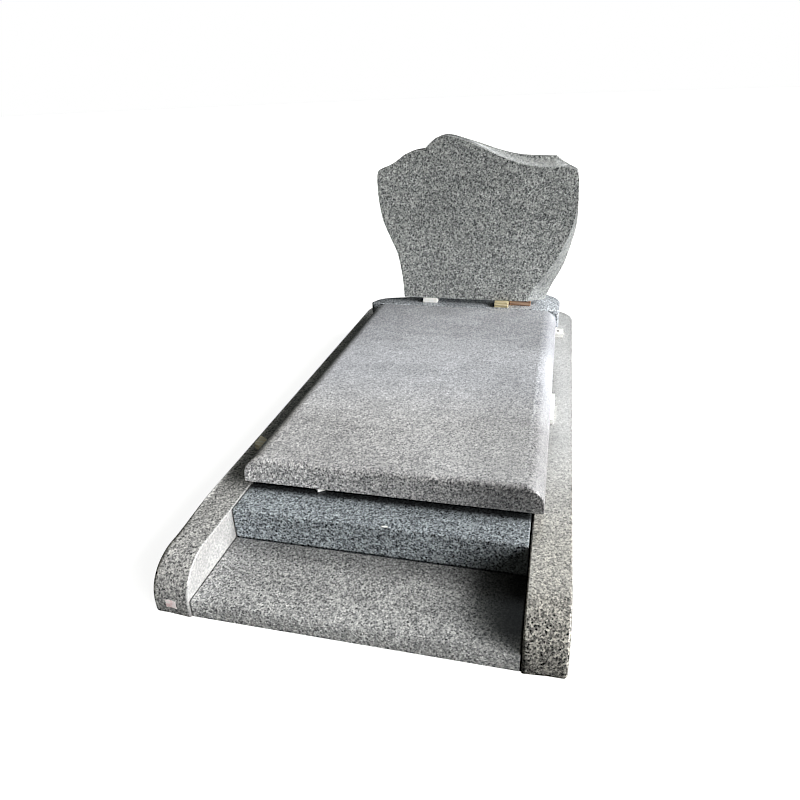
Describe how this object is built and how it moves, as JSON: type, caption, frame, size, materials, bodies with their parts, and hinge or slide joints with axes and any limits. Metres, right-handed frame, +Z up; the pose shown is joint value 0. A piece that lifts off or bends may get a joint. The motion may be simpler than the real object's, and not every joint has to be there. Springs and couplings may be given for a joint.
{
  "type": "granite headstone with grave surround",
  "caption": "Upright granite headstone with a wave-shaped top on a base slab, behind a round-edged cover slab on a low kerb frame with an open front recess.",
  "frame": {"origin": "centre of the kerb frame's footprint, at ground level", "axes": "+X to the right seen from the front, +Y from the front recess towards the headstone, +Z up; the front faces -Y"},
  "size_m": [1.006, 2.1, 0.9687],
  "materials": {
    "granite_left_kerb": "polished",
    "granite_right_kerb": "polished",
    "granite_front_plate": "polished",
    "granite_front_step": "polished",
    "granite_rear_kerb": "polished",
    "granite_ledger": "polished",
    "granite_socle": "polished",
    "granite_headstone": "polished",
    "white_block": "matte",
    "wood_block": "matte",
    "packing_lath": "matte"
  },
  "bodies": {
    "root": {"left_kerb": "granite_left_kerb", "right_kerb": "granite_right_kerb", "front_plate": "granite_front_plate", "front_step": "granite_front_step", "rear_kerb": "granite_rear_kerb", "ledger": "granite_ledger", "socle": "granite_socle", "headstone": "granite_headstone", "ledger_front_block": "white_block", "ledger_front_right_block": "white_block", "ledger_right_block": "white_block", "ledger_rear_right_block": "white_block", "socle_left_block": "white_block", "socle_right_block": "white_block", "headstone_left_block": "white_block", "ledger_left_block": "wood_block", "ledger_rear_left_block": "wood_block", "socle_rear_blocks": "wood_block", "headstone_right_block": "wood_block", "headstone_packing_strip": "packing_lath"}
  },
  "joints": []
}
